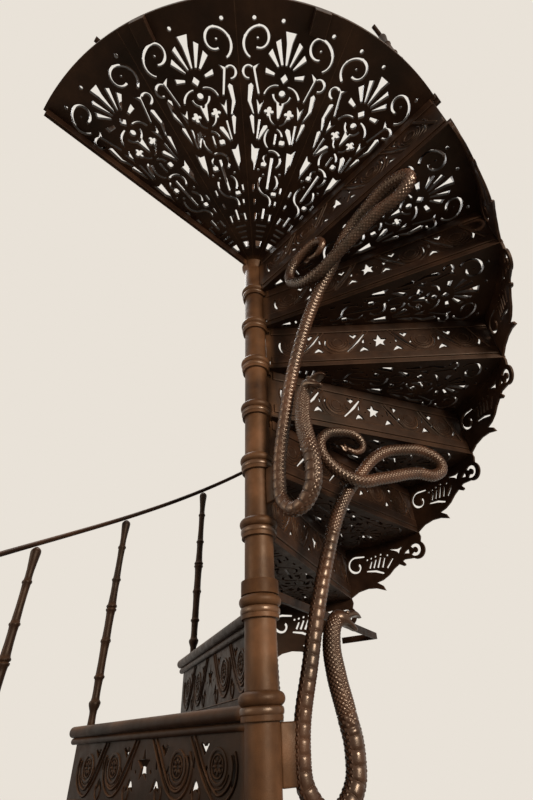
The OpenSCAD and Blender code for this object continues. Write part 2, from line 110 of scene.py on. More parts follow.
def painted_iron(name, look, handled_and_lit, gloss, grit, dent, rub, shaded_hollows=True):
    """Iron under dark brown oil paint, satin and a little cloudy.

    The brush laps leave patches some centimetres wide, the metal's grain shows through as a bump as
    deep as the dent, from grit of the size given and drawn coarse enough to show, and the paint is
    rubbed to a lighter bronze along the edges, up to the rub's distance from them. Round the newel,
    where hands reach, and where it faces upwards under feet and dust, it is faded to the handled
    tones, which are lighter partly as painted light. Gloss is the specular level, and also makes the
    paint smoother. Iron with shaded hollows is darkest in its hollows, as painted shade. Plain bars
    aren't, because the hollow at a bar's end would darken its whole length.
    """
    material, tree, shader = new_material(name)
    place = add_node(tree, "ShaderNodeTexCoord").outputs["Object"]
    clouds = add_node(tree, "ShaderNodeTexNoise", {"Vector": place},
                      {"Scale": 7.0, "Detail": 5.0, "Roughness": 0.6})
    grain = add_node(tree, "ShaderNodeTexNoise", {"Vector": place},
                     {"Scale": 0.6 / grit, "Detail": 3.0, "Roughness": 0.6})
    laps = add_node(tree, "ShaderNodeTexNoise", {"Vector": place},
                    {"Scale": 38.0, "Detail": 3.0, "Roughness": 0.5})
    out = add_node(tree, "ShaderNodeVectorMath", {0: place}, {1: (1, 1, 0)}, operation="MULTIPLY")
    reach = add_node(tree, "ShaderNodeVectorMath", {0: out.outputs["Vector"]}, operation="LENGTH")
    near = add_node(tree, "ShaderNodeMapRange", {"Value": reach.outputs["Value"]},
                    {"From Min": FADED_LIT_R[1], "From Max": FADED_LIT_R[0], "To Min": 0.0, "To Max": 1.0})
    face = add_node(tree, "ShaderNodeNewGeometry")
    upright = add_node(tree, "ShaderNodeSeparateXYZ", {"Vector": face.outputs["Normal"]})
    trodden = add_node(tree, "ShaderNodeMapRange", {"Value": upright.outputs["Z"]},
                       {"From Min": 0.1, "From Max": 0.8, "To Min": 0.0, "To Max": 0.75})
    faded_and_lit = add_node(tree, "ShaderNodeMath", {0: near.outputs["Result"], 1: trodden.outputs["Result"]},
                     operation="MAXIMUM")
    tones = []
    for paint in (look, handled_and_lit):
        cloudy = add_node(tree, "ShaderNodeValToRGB", {"Fac": clouds.outputs["Fac"]})
        stops = cloudy.color_ramp.elements
        stops.new(0.5)
        for stop, share, tone in zip(stops, (0.30, 0.52, 0.74), (paint.shade, paint.body, paint.warm)):
            stop.position = share
            stop.color = tone
        tones.append(cloudy.outputs["Color"])
    # The handled tones mixed in here are lighter partly as painted light on the newel and the upward faces
    coat = add_node(tree, "ShaderNodeMix", {FACTOR: faded_and_lit.outputs[0], FIRST: tones[0], SECOND: tones[1]},
                    data_type="RGBA")
    rim = add_node(tree, "ShaderNodeBevel", None, {"Radius": rub}, samples=4)
    flat = add_node(tree, "ShaderNodeVectorMath",
                    {0: rim.outputs["Normal"], 1: face.outputs["Normal"]}, operation="DOT_PRODUCT")
    edge = add_node(tree, "ShaderNodeMapRange", {"Value": flat.outputs["Value"]},
                    {"From Min": 0.985, "From Max": 0.80, "To Min": 0.0, "To Max": 1.0})
    rubbed = add_node(tree, "ShaderNodeMath",
                      {0: edge.outputs["Result"], 1: laps.outputs["Fac"]}, operation="MULTIPLY")
    worn_and_shaded = add_node(tree, "ShaderNodeMix", {FACTOR: rubbed.outputs[0], FIRST: coat.outputs[MIXED]},
                    {SECOND: look.rubbed}, data_type="RGBA")
    # Iron with shaded hollows has them, where the mesh's pointiness is low, darkened to the darkest tone as
    # painted shade
    if shaded_hollows:
        hollow = add_node(tree, "ShaderNodeMapRange", {"Value": face.outputs["Pointiness"]},
                          {"From Min": 0.492, "From Max": 0.455, "To Min": 0.0, "To Max": 0.9})
        worn_and_shaded = add_node(tree, "ShaderNodeMix",
                        {FACTOR: hollow.outputs["Result"], FIRST: worn_and_shaded.outputs[MIXED]},
                        {SECOND: look.shade}, data_type="RGBA")
    tree.links.new(worn_and_shaded.outputs[MIXED], shader.inputs["Base Color"])
    smooth = 0.5 * gloss
    sheen = add_node(tree, "ShaderNodeMapRange", {"Value": laps.outputs["Fac"]},
                     {"From Min": 0.3, "From Max": 0.7, "To Min": 0.50 - smooth, "To Max": 0.66 - smooth})
    tree.links.new(sheen.outputs["Result"], shader.inputs["Roughness"])
    shader.inputs["Specular IOR Level"].default_value = gloss
    shader.inputs["Specular Tint"].default_value = linear("#f2dcc6")
    skin = add_node(tree, "ShaderNodeBump",
                    {"Height": grain.outputs["Fac"], "Normal": rim.outputs["Normal"]},
                    {"Strength": 0.3, "Distance": dent})
    tree.links.new(skin.outputs["Normal"], shader.inputs["Normal"])
    return material


# Points closer than this, in metres, are merged into one
MERGE = 0.00002


def rest():
    """Leaves edit mode and deselects everything."""
    if bpy.context.object and bpy.context.object.mode != "OBJECT":
        bpy.ops.object.mode_set(mode="OBJECT")
    bpy.ops.object.select_all(action="DESELECT")


def only(piece):
    """Makes a piece the only selected and the active one."""
    rest()
    piece.select_set(True)
    bpy.context.view_layer.objects.active = piece


def edit(piece, what):
    """Goes into edit mode of faces, edges or vertices with nothing selected."""
    only(piece)
    bpy.ops.object.mode_set(mode="EDIT")
    bpy.ops.mesh.select_mode(type=what)
    bpy.ops.mesh.select_all(action="DESELECT")


def pick(piece, what, test):
    """Selects the faces, edges or vertices of the mesh in edit mode that pass a test."""
    bpy.ops.mesh.select_all(action="DESELECT")
    bpy.ops.mesh.select_mode(type=what)
    mesh = bmesh.from_edit_mesh(piece.data)
    mesh.verts.index_update()
    items = {"FACE": mesh.faces, "EDGE": mesh.edges, "VERT": mesh.verts}[what]
    for item in items:
        if test(item):
            item.select_set(True)
    mesh.select_flush_mode()
    bmesh.update_edit_mesh(piece.data)


def finish_modifiers(piece):
    """Applies every modifier of a piece."""
    only(piece)
    for modifier in list(piece.modifiers):
        bpy.ops.object.modifier_apply(modifier=modifier.name)


def settle(piece):
    """Puts a piece's place, turn and size into its mesh."""
    only(piece)
    bpy.ops.object.transform_apply(location=True, rotation=True, scale=True)


def copy_turned(piece, name, angle, height):
    """Copy of a piece with its own mesh, turned round the newel and raised."""
    only(piece)
    bpy.ops.object.duplicate()
    twin = bpy.context.object
    twin.name = name
    twin.rotation_euler = (0, 0, math.radians(angle))
    twin.location = (0, 0, height)
    settle(twin)
    return twin


def joined(pieces, name):
    """Joins pieces into the first one."""
    only(pieces[0])
    for piece in pieces:
        piece.select_set(True)
    if len(pieces) > 1:
        bpy.ops.object.join()
    pieces[0].name = name
    return pieces[0]


def turned(name, profile, steps):
    """Turns a profile of (radius, height) round Z: one point is drawn out along it and spun."""
    rest()
    bpy.ops.mesh.primitive_plane_add(size=0.01)
    piece = bpy.context.object
    piece.name = name
    bpy.ops.object.mode_set(mode="EDIT")
    bpy.ops.mesh.select_mode(type="VERT")
    bpy.ops.mesh.select_all(action="SELECT")
    bpy.ops.mesh.merge(type="CENTER")
    bpy.ops.mesh.select_all(action="SELECT")
    bpy.ops.transform.translate(value=(profile[0][0], 0, profile[0][1]))
    for (r0, z0), (r1, z1) in zip(profile, profile[1:]):
        bpy.ops.mesh.extrude_region_move(TRANSFORM_OT_translate={"value": (r1 - r0, 0, z1 - z0)})
    bpy.ops.mesh.select_all(action="SELECT")
    bpy.ops.mesh.spin(steps=steps, angle=2 * math.pi, center=(0, 0, 0), axis=(0, 0, 1))
    bpy.ops.mesh.select_all(action="SELECT")
    bpy.ops.mesh.remove_doubles(threshold=MERGE)
    bpy.ops.mesh.normals_make_consistent(inside=False)
    bpy.ops.object.mode_set(mode="OBJECT")
    return piece


def smooth_line(points, cuts):
    """Points of a smooth curve through the points given, with a number of cuts between each two."""
    p = [Vector(q) for q in points]
    out = []
    for j in range(len(p) - 1):
        a, b, c, d = p[max(j - 1, 0)], p[j], p[j + 1], p[min(j + 2, len(p) - 1)]
        for k in range(cuts):
            t = k / cuts
            out.append(0.5 * (2 * b + (c - a) * t + (2 * a - 5 * b + 4 * c - d) * t * t
                              + (3 * b - a - 3 * c + d) * t ** 3))
    return out + [p[-1]]


def bead_lines(name, lines, girth, sides=1):
    """Rounded beads along lines of points, as one mesh. A line that meets its start is a ring."""
    rest()
    bpy.ops.curve.primitive_bezier_curve_add()
    piece = bpy.context.object
    piece.name = name
    piece.location = (0, 0, 0)
    data = piece.data
    data.dimensions = "3D"
    data.bevel_depth = girth
    data.bevel_resolution = sides
    data.use_fill_caps = True
    data.splines.clear()
    for line in lines:
        spline = data.splines.new("POLY")
        spline.use_cyclic_u = math.dist(line[0], line[-1]) < MERGE
        if spline.use_cyclic_u:
            line = line[:-1]
        spline.points.add(len(line) - 1)
        for point, place in zip(spline.points, line):
            point.co = (place[0], place[1], place[2], 1)
    only(piece)
    bpy.ops.object.convert(target="MESH")
    piece = bpy.context.object
    edit(piece, "VERT")
    bpy.ops.mesh.select_all(action="SELECT")
    bpy.ops.mesh.remove_doubles(threshold=MERGE)
    bpy.ops.object.mode_set(mode="OBJECT")
    return piece


def beside(line, gap):
    """Line that runs beside a flat line of (x, z) points, at a distance."""
    out = []
    for j, (x, z) in enumerate(line):
        (x0, z0), (x1, z1) = line[max(j - 1, 0)], line[min(j + 1, len(line) - 1)]
        m = math.hypot(x1 - x0, z1 - z0)
        out.append((x - gap * (z1 - z0) / m, z + gap * (x1 - x0) / m))
    return out


def place_copies(model, name, places, paint="oil_painted_cast_iron", replaced=()):
    """Copies of a model at (angle, height) places, joined into one piece that rides on the stair."""
    copies = [copy_turned(model, "%s_copy" % name, angle, height) for angle, height in places]
    piece = joined(copies, name)
    piece.data.materials.clear()
    piece.data.materials.append(bpy.data.materials[paint])
    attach(piece, "root")
    if replaced:
        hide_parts(*replaced)
    only(model)
    bpy.ops.object.delete()


# Line of a serpent in its upright plane, from the curled tail to the head, in rises: distance
# from the newel's axis, height over the tread's underside, distance out of the plane, and the
# body's radius in diameters
SERPENT_LINE = (
    (1.60, -0.42, -0.09, 0.13), (1.78, -0.46, -0.09, 0.20), (1.93, -0.30, -0.09, 0.25),
    (1.82, -0.12, -0.09, 0.29), (1.50, -0.10, -0.09, 0.33), (1.20, -0.22, -0.09, 0.36),
    (1.08, -0.46, -0.09, 0.38), (1.24, -0.80, -0.10, 0.40), (1.68, -1.02, -0.12, 0.41),
    (2.20, -0.90, -0.10, 0.41), (3.00, -0.66, -0.05, 0.42), (3.48, -0.60, 0.0, 0.42),
    (3.68, -0.38, 0.0, 0.42), (3.46, -0.16, 0.0, 0.42), (2.80, -0.16, 0.05, 0.42),
    (2.36, -0.32, 0.08, 0.42), (1.86, -0.82, 0.11, 0.42), (1.48, -1.30, 0.08, 0.42),
    (0.98, -2.38, 0.0, 0.41), (0.63, -3.52, -0.02, 0.40), (0.45, -4.38, 0.0, 0.39),
    (0.50, -4.72, 0.0, 0.40), (0.76, -4.90, 0.0, 0.42), (1.02, -4.74, 0.0, 0.46),
    (1.10, -4.42, 0.0, 0.47), (1.05, -4.06, 0.0, 0.48), (0.98, -3.66, 0.02, 0.49),
    (0.98, -3.30, 0.05, 0.46), (1.06, -3.08, 0.05, 0.42), (1.16, -3.01, 0.05, 0.36),
)
SERPENT_D = 0.046
# Radius of the straight skin before the curve's own radius scales it
NOMINAL = 0.021


def serpent_line():
    """Curve that a serpent's body follows, with the body's girth as its radius."""
    rest()
    bpy.ops.curve.primitive_bezier_curve_add()
    line = bpy.context.object
    line.name = "serpent_line"
    line.location = (0, 0, 0)
    data = line.data
    data.dimensions = "3D"
    data.twist_mode = "MINIMUM"
    data.resolution_u = 10
    data.use_radius = True
    spline = data.splines[0]
    spline.bezier_points.add(len(SERPENT_LINE) - len(spline.bezier_points))
    for point, (x, z, y, r) in zip(spline.bezier_points, SERPENT_LINE):
        point.co = (x * RISE, y * RISE, z * RISE)
        point.handle_left_type = point.handle_right_type = "AUTO"
        point.radius = r * SERPENT_D / NOMINAL
    return line


def scale_tube(start, end, around, row, depth, belly):
    """Straight tube along X covered in lozenge scales, with square plates along its belly.

    Around is the number of facets in a ring, row the length of a row, depth that of the grooves and
    belly where the plates start and end. Each row of facets is poked and its old edges dissolved,
    which leaves lozenges. Each lozenge is sunk round its rim and its point on the tail's side is
    lifted, so that it laps over the next.
    """
    rows = 2 * round((end - start) / row / 2)
    row = (end - start) / rows
    rest()
    bpy.ops.mesh.primitive_cylinder_add(
        vertices=around, radius=NOMINAL, depth=row, end_fill_type="NOTHING",
        location=(start + row / 2, 0, 0), rotation=(0, math.pi / 2, 0))
    tube = bpy.context.object
    settle(tube)
    repeat = tube.modifiers.new("rows", "ARRAY")
    repeat.count = rows
    repeat.relative_offset_displace = (1, 0, 0)
    repeat.use_merge_vertices = True
    repeat.merge_threshold = 0.0001
    finish_modifiers(tube)

    def on_belly(face):
        c = face.calc_center_median()
        return belly[0] < c.x < belly[1] and c.y < -0.7 * NOMINAL

    def lift_tips():
        """Lifts the corner of each selected face that lies furthest towards the tail."""
        mesh = bmesh.from_edit_mesh(tube.data)
        tips = {min(f.verts, key=lambda v: v.co.x).index for f in mesh.faces if f.select}
        pick(tube, "VERT", lambda v: v.index in tips)
        bpy.ops.transform.shrink_fatten(value=0.35 * depth)

    edit(tube, "FACE")
    first = len(tube.data.vertices)
    pick(tube, "FACE", lambda f: not on_belly(f))
    bpy.ops.mesh.poke(offset=NOMINAL * (1 - math.cos(math.pi / around)))
    pick(tube, "EDGE", lambda e: all(v.index < first for v in e.verts)
         and len(e.link_faces) == 2 and all(len(f.verts) == 3 for f in e.link_faces))
    bpy.ops.mesh.dissolve_edges(use_verts=False, use_face_split=False)
    pick(tube, "FACE", lambda f: not on_belly(f))
    bpy.ops.mesh.inset(use_individual=True, thickness=0.11 * row, depth=depth)
    lift_tips()
    # Belly plates are sunk round their rims every other one at a time, each two rows long
    begin = math.ceil((belly[0] - start) / row)
    for turn in (0, 1):
        pick(tube, "FACE", lambda f: len(f.verts) == 4 and on_belly(f) and abs(f.normal.x) < 0.1
             and f.calc_area() > 0.6 * row * NOMINAL * 2 * math.sin(math.pi / around)
             and (int((f.calc_center_median().x - start) / row) - begin) // 2 % 2 == turn)
        bpy.ops.mesh.inset(use_individual=False, thickness=0.0018, depth=1.1 * depth)
        mesh = bmesh.from_edit_mesh(tube.data)
        raised = {v.index for f in mesh.faces if f.select for v in f.verts
                  if ((v.co.x - start) / row - begin) % 2 < 0.4}
        pick(tube, "VERT", lambda v: v.index in raised)
        bpy.ops.transform.shrink_fatten(value=0.0013)
    bpy.ops.object.mode_set(mode="OBJECT")
    return tube


def serpent_skin(length, sizes):
    """Skin of a serpent along X: scales down to the bend, belly plates round it, beads on the neck."""
    neck = 0.917 * length
    body = scale_tube(0, neck, 8, sizes.scale_row, sizes.scale_groove, (0.60 * length, 0.908 * length))
    beads = scale_tube(neck, length, 14, sizes.bead_row, sizes.bead_groove, (0, 0))
    skin = joined([body, beads], "serpent_skin")
    edit(skin, "EDGE")
    pick(skin, "EDGE", lambda e: e.is_boundary and all(abs(v.co.x - neck) < 0.001 for v in e.verts))
    bpy.ops.mesh.bridge_edge_loops()
    bpy.ops.object.mode_set(mode="OBJECT")
    return skin


def tail_leaf():
    """Three lobes that fan out of a serpent's tail, inside its curl."""
    tail_x, tail_z, tail_y, _ = SERPENT_LINE[0]
    lobes = []
    for tilt, reach in ((-42, 0.026), (0, 0.034), (44, 0.024)):
        rest()
        bpy.ops.mesh.primitive_uv_sphere_add(segments=12, ring_count=8, radius=1)
        lobe = bpy.context.object
        lobe.scale = (reach / 2, 0.0034, 0.0062)
        settle(lobe)
        edit(lobe, "VERT")
        # The lobe's end hooks over
        pick(lobe, "VERT", lambda v: v.co.x < -0.2 * reach)
        bpy.ops.transform.translate(value=(0.1 * reach, 0, 0.22 * reach))
        bpy.ops.object.mode_set(mode="OBJECT")
        lobe.rotation_euler = (0, math.radians(tilt), 0)
        x, z = -0.42 * reach * math.cos(math.radians(tilt)), 0.42 * reach * math.sin(math.radians(tilt))
        lobe.location = (tail_x * RISE + x, tail_y * RISE, tail_z * RISE + z)
        settle(lobe)
        smooth = lobe.modifiers.new("rounded", "SUBSURF")
        smooth.levels = smooth.render_levels = 1
        finish_modifiers(lobe)
        lobes.append(lobe)
    return joined(lobes, "tail_leaf")


def serpent_lug():
    """Rounded web that ties a serpent's lower body to the newel, 6 mm under a bullnose."""
    rest()
    low = PLATE_T - 4 * RISE - NOSE_H - 0.006 - LUG_H
    bpy.ops.mesh.primitive_cube_add(size=1, location=(0.0645, 0, low + LUG_H / 2))
    lug = bpy.context.object
    lug.scale = (0.05, LUG_T, LUG_H)
    settle(lug)
    edit(lug, "EDGE")
    pick(lug, "EDGE", lambda e: True)
    bpy.ops.mesh.bevel(offset=0.004, segments=3, affect="EDGES")
    bpy.ops.object.mode_set(mode="OBJECT")
    return lug


# Steps that draw the skull out into the upper jaw, level 1, and the lower jaw, level -1: how far
# forwards and up each goes, in metres, and the share of its width and height that it keeps
JAWS = (
    (1, ((0.013, 0.005, 0.94), (0.013, 0.003, 0.88), (0.012, -0.002, 0.76), (0.007, -0.006, 0.56))),
    (-1, ((0.010, -0.006, 0.88), (0.011, -0.007, 0.80), (0.009, -0.003, 0.62))),
)


def serpent_head():
    """Head with open jaws: a skull drawn out forwards into an upper and a lower jaw, with eyes."""
    rest()
    bpy.ops.mesh.primitive_uv_sphere_add(segments=14, ring_count=10, radius=0.024)
    head = bpy.context.object
    head.scale = (1.25, 1.0, 0.86)
    settle(head)
    edit(head, "FACE")
    for level, steps in JAWS:
        pick(head, "FACE", lambda f: f.normal.x > 0.42 and level * f.calc_center_median().z > 0.001
             and f.calc_center_median().x > 0.008)
        for ahead, over, size in steps:
            bpy.ops.mesh.extrude_region_move(TRANSFORM_OT_translate={"value": (ahead, 0, over)})
            bpy.ops.transform.resize(value=(0.7, size, size))
    bpy.ops.object.mode_set(mode="OBJECT")
    rounded = head.modifiers.new("rounded", "SUBSURF")
    rounded.levels = rounded.render_levels = 2
    finish_modifiers(head)
    eyes = []
    for side in (-1, 1):
        rest()
        bpy.ops.mesh.primitive_uv_sphere_add(segments=12, ring_count=8, radius=0.0052,
                                             location=(0.016, side * 0.0195, 0.0115))
        eyes.append(bpy.context.object)
        eyes[-1].scale = (1.3, 0.8, 1.0)
        settle(eyes[-1])
    head = joined([head] + eyes, "serpent_head")
    head.rotation_euler = (0, math.radians(4), 0)
    head.location = (1.13 * RISE, 0.05 * RISE, -3.035 * RISE)
    settle(head)
    return head


# Nodes of rolled or forged bar; the rest are cast
WROUGHT = ("core_post", "stay_bar", "landing_edge_bar", "handrail", "guard_rail")


def paint_colour(name, description, code):
    """Colour property of a paint, in RGB and alpha."""
    return bpy.props.FloatVectorProperty(
        name=name, description=description, default=linear(code), subtype="COLOR", size=4, min=0, max=1)


class STAIR_PG_dark_paint(bpy.types.PropertyGroup):
    """Colours of the paint on treads, risers and brackets, away from hands and feet."""
    shade: paint_colour("Shade", "Darkest tone of the paint", "#0e0704")
    body: paint_colour("Body", "Main tone of the paint", "#1e110a")
    warm: paint_colour("Warm", "Faded tone of the paint", "#2f1e13")
    rubbed: paint_colour("Rubbed", "Tone of the rubbed edges", "#5a3f2b")


class STAIR_PG_handled_lit_paint(bpy.types.PropertyGroup):
    """Colours of the paint round the newel and where it is trodden, faded brown by hands and dust, and
    lighter than the dark paint partly as painted light.
    """
    shade: paint_colour("Shade", "Darkest tone of the paint", "#22130a")
    body: paint_colour("Body", "Main tone of the paint", "#412b1a")
    warm: paint_colour("Warm", "Faded tone of the paint", "#5a3d29")
    rubbed: paint_colour("Rubbed", "Tone of the rubbed edges", "#94694a")


class STAIR_PG_serpent_paint(bpy.types.PropertyGroup):
    """Colours of the paint on the serpents, a little darker than the newel's and, like it, lighter than the
    dark paint partly as painted light.
    """
    shade: paint_colour("Shade", "Darkest tone of the paint", "#0c0704")
    body: paint_colour("Body", "Main tone of the paint", "#2e1c12")
    warm: paint_colour("Warm", "Faded tone of the paint", "#452c1d")
    rubbed: paint_colour("Rubbed", "Tone of the rubbed edges", "#8a6248")


def metres(name, description, value):
    """Length property with its default in metres."""
    return bpy.props.FloatProperty(
        name=name, description=description, default=value, min=0.0001, soft_max=0.1, precision=4,
        subtype="DISTANCE", unit="LENGTH")


class STAIR_PG_sizes(bpy.types.PropertyGroup):
    """Sizes of the cast detail and the rail."""
    scale_row: metres("Scale row", "Length of a row of scales on a serpent's body", 0.0135)
    scale_groove: metres("Scale groove", "Depth of the grooves between the scales", 0.0034)
    bead_row: metres("Neck bead row", "Length of a row of beads on a serpent's neck", 0.0104)
    bead_groove: metres("Neck bead groove", "Depth of the grooves between the neck's beads", 0.0028)
    band_girth: metres("Band girth", "Radius of the rounded edges of the risers' bands", 0.0034)
    fillet_girth: metres("Fillet girth", "Radius of the fine lines on the risers' faces", 0.0021)
    back_girth: metres("Back relief girth", "Radius of the raised lines on the risers' backs", 0.0030)
    rail_girth: metres("Rail girth", "Radius of the round handrail", 0.009)


class STAIR_OT_paint(bpy.types.Operator):
    """Gives each casting its painted finish"""
    bl_idname = "stair.paint"
    bl_label = "Paint the castings"

    def execute(self, context):
        dark, handled_and_lit = context.scene.stair_dark_paint, context.scene.stair_handled_paint
        # Sand-cast iron: the mould's sand leaves a grain of about 1.5 mm, drawn a little coarse to show
        cast = painted_iron("oil_painted_cast_iron", dark, handled_and_lit,
                            gloss=0.19, grit=0.0016, dent=0.0012, rub=0.0035)
        # The same castings where hands and dust have faded the paint to a lighter brown, lighter still as
        # painted light
        painted_iron("faded_lit_painted_cast_iron", handled_and_lit, handled_and_lit,
                     gloss=0.48, grit=0.0016, dent=0.0009, rub=0.0009)
        # The serpents are rubbed smooth, so their scales catch the light
        serpent = context.scene.stair_serpent_paint
        painted_iron("serpent_painted_cast_iron", serpent, serpent,
                     gloss=0.56, grit=0.0016, dent=0.0009, rub=0.0009)
        # Rolled and forged bar: only the hammer's faint, wide dents
        forged = painted_iron("painted_wrought_iron", dark, handled_and_lit,
                              gloss=0.10, grit=0.012, dent=0.0006, rub=0.0035, shaded_hollows=False)
        # The plain newel over the landing, cast like the rest
        plain = painted_iron("smooth_painted_cast_iron", dark, handled_and_lit,
                             gloss=0.19, grit=0.0016, dent=0.0012, rub=0.0035, shaded_hollows=False)
        for name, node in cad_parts.items():
            node.data.materials.clear()
            node.data.materials.append(forged if name in WROUGHT else plain if name == "newel_top" else cast)
        return {"FINISHED"}


# Middle of a riser from the newel's axis, height of the medallions' centres over the riser's foot
# and depth of the relief on the back, in metres
MIDDLE = 0.47035
MEDALLION_Z = 0.093
BACK_Y = -0.0076
# Medallions' centres from the middle, in millimetres
MEDALLIONS = (-320, -160, 160, 320)
# The two bands on each side of the middle that hook round the medallions, in millimetres across
# and up
HOOKS = (
    ((42, 154), (58, 131), (84, 97), (108, 68), (132, 48), (160, 40), (189, 50), (208, 73), (211, 98),
     (202, 117)),
    ((214, 154), (231, 131), (254, 97), (276, 70), (299, 49), (323, 37), (354, 46), (376, 68), (381, 95),
     (374, 114)),
)


def hook_lines(depth, cuts):
    """Edges of the hooking bands, 15 mm apart, at a depth across the riser."""
    lines = []
    for hook in HOOKS:
        line = [(v.x, v.y) for v in smooth_line([(x, z, 0) for x, z in hook], cuts)]
        for gap in (-7.5, 7.5):
            for side in (-1, 1):
                lines.append([(MIDDLE + side * x / 1000, depth, z / 1000) for x, z in beside(line, gap)])
    return lines


def arc(x, radius, start, end, depth):
    """Arc round the medallion at x, in millimetres and degrees, at a depth across the riser."""
    return [(MIDDLE + (x + radius * math.cos(math.radians(a))) / 1000, depth,
             MEDALLION_Z + radius * math.sin(math.radians(a)) / 1000)
            for a in range(start, end + 1, 20)]


def riser_front(sizes):
    """Relief of a riser's face: bands that hook round the medallions, their flowers, and fillets."""
    lines, thin = hook_lines(0.0006, 3), []
    for x in MEDALLIONS:
        thin.append(arc(x, 40, 200, 340, 0.001))
        thin.append(arc(x, 21, 0, 360, 0.001))
    for z in (0.020, 0.162):
        thin.append([(0.058, 0.0, z), (0.895, 0.0, z)])
    for x in (-240, -80, 80, 240):
        for side in (-1, 1):
            thin.append([(MIDDLE + (x + side * a) / 1000, 0.0008, b / 1000)
                         for a, b in ((0, 24), (7, 27), (13, 35), (15, 46), (10, 56))])
    bands = bead_lines("bands", lines, sizes.band_girth)
    fillets = bead_lines("fillets", thin, sizes.fillet_girth)
    petals = []
    for x in MEDALLIONS:
        for a in range(0, 360, 45):
            rest()
            bpy.ops.mesh.primitive_uv_sphere_add(
                segments=8, ring_count=4, radius=0.0062,
                location=(MIDDLE + (x + 11.5 * math.cos(math.radians(a))) / 1000, 0.0006,
                          MEDALLION_Z + 11.5 * math.sin(math.radians(a)) / 1000))
            petal = bpy.context.object
            petal.rotation_euler = (0, -math.radians(a), 0)
            petal.scale = (1.15, 0.55, 0.62)
            settle(petal)
            petals.append(petal)
    return joined([bands, fillets] + petals, "riser_front")


def riser_back(sizes):
    """Bands along a riser's head and foot, the slanting rib at its outer end, rings and hooks."""
    parts = []
    for x0, x1, z0, z1 in ((0.060, 0.898, 0.003, 0.036), (0.060, 0.898, 0.146, 0.182)):
        rest()
        bpy.ops.mesh.primitive_cube_add(size=1, location=((x0 + x1) / 2, -0.0098, (z0 + z1) / 2))
        band = bpy.context.object
        band.scale = (x1 - x0, 0.0044, z1 - z0)
        settle(band)
        edit(band, "FACE")
        pick(band, "FACE", lambda f: f.normal.y < -0.5)
        bpy.ops.mesh.inset(thickness=0.0025)
        bpy.ops.transform.translate(value=(0, -0.0014, 0))
        bpy.ops.object.mode_set(mode="OBJECT")
        parts.append(band)
    rest()
    bpy.ops.mesh.primitive_cube_add(size=1, location=(0.848, -0.0098, 0.091))
    rib = bpy.context.object
    rib.scale = (0.012, 0.006, 0.124)
    rib.rotation_euler = (0, math.radians(-28), 0)
    settle(rib)
    edit(rib, "EDGE")
    pick(rib, "EDGE", lambda e: True)
    bpy.ops.mesh.bevel(offset=0.002, segments=2, affect="EDGES")
    bpy.ops.object.mode_set(mode="OBJECT")
    rings = []
    for x in MEDALLIONS:
        rings.append(arc(x, 40, 160, 380, BACK_Y))
        rings.append(arc(x, 30, 180, 360, BACK_Y))
        rings.append(arc(x, 20, 0, 360, BACK_Y))
    relief = bead_lines("rings", rings + hook_lines(BACK_Y, 2), sizes.back_girth)
    return joined(parts + [rib, relief], "riser_back")


class STAIR_OT_riser_relief(bpy.types.Operator):
    """Models the relief of a riser's face and back and sets a copy on each riser"""
    bl_idname = "stair.riser_relief"
    bl_label = "Raise the risers' relief"

    def execute(self, context):
        places = [(riser_angle(n), (n - 1) * RISE) for n in range(1, RISES + 1)]
        sizes = context.scene.stair_sizes
        front = riser_front(sizes)
        only(front)
        bpy.ops.object.shade_smooth_by_angle(angle=math.radians(60))
        place_copies(front, "riser_face_relief", places)
        place_copies(riser_back(sizes), "riser_back_bands", places)
        return {"FINISHED"}


# Profile of the round moulding under a ring of the newel: radius and height over the tread's top,
# in metres
MOULDING = (
    (0.0388, -0.0065), (0.0440, -0.0070), (0.0475, -0.0084), (0.0492, -0.0110), (0.0498, -0.0150),
    (0.0496, -0.0195), (0.0484, -0.0225), (0.0460, -0.0244), (0.0432, -0.0252), (0.0418, -0.0268),
    (0.0406, -0.0300), (0.0388, -0.0320), (0.0388, -0.0065),
)


class STAIR_OT_newel_mouldings(bpy.types.Operator):
    """Turns the round moulding under each ring of the newel"""
    bl_idname = "stair.newel_mouldings"
    bl_label = "Turn the newel's mouldings"

    def execute(self, context):
        model = turned("moulding", MOULDING, 40)
        only(model)
        bpy.ops.object.shade_smooth_by_angle(angle=math.radians(70))
        place_copies(model, "newel_mouldings", [(0, n * RISE) for n in range(1, RISES)],
                     "faded_lit_painted_cast_iron")
        return {"FINISHED"}


# Half profile of a baluster in millimetres, radius and height: a jointed stem with rings, a bulb at
# the foot, a pair of rings at the middle and a flared head
BALUSTER = (
    (0, 0), (12, 0), (12.6, 2), (12, 12), (11.6, 30), (12.4, 40), (16.5, 50), (19, 58), (19.4, 63),
    (17.5, 67), (14.5, 70), (13, 78), (12.8, 100), (13.6, 124), (14.6, 131), (17.6, 134), (18.2, 137),
    (17.6, 140),
    (14.8, 143), (14, 150), (13.4, 185), (14.2, 222), (15.6, 243), (18, 247), (18.6, 250), (18, 253),
    (15.6, 257), (14.8, 264), (14.2, 300), (15, 335), (16.2, 349), (19, 353), (19.8, 356.5), (18.6, 359.5),
    (15.6, 361), (15.6, 363), (18.6, 364.5), (19.8, 367.5), (19, 371), (16, 375), (14.6, 384), (13.4, 415),
    (13.4, 445), (14.4, 460), (16.8, 463.5), (17.4, 466), (16.8, 469), (14.2, 472), (13, 480), (12, 520),
    (12.2, 560), (13.2, 588), (15.6, 592), (16.2, 595), (15.6, 598), (12.6, 602), (11.6, 612), (12.2, 635),
    (14.4, 662), (16.8, 686), (17.4, 696), (16, 702.5), (11, 708.5), (5.5, 712.5), (0, 714.9),
)


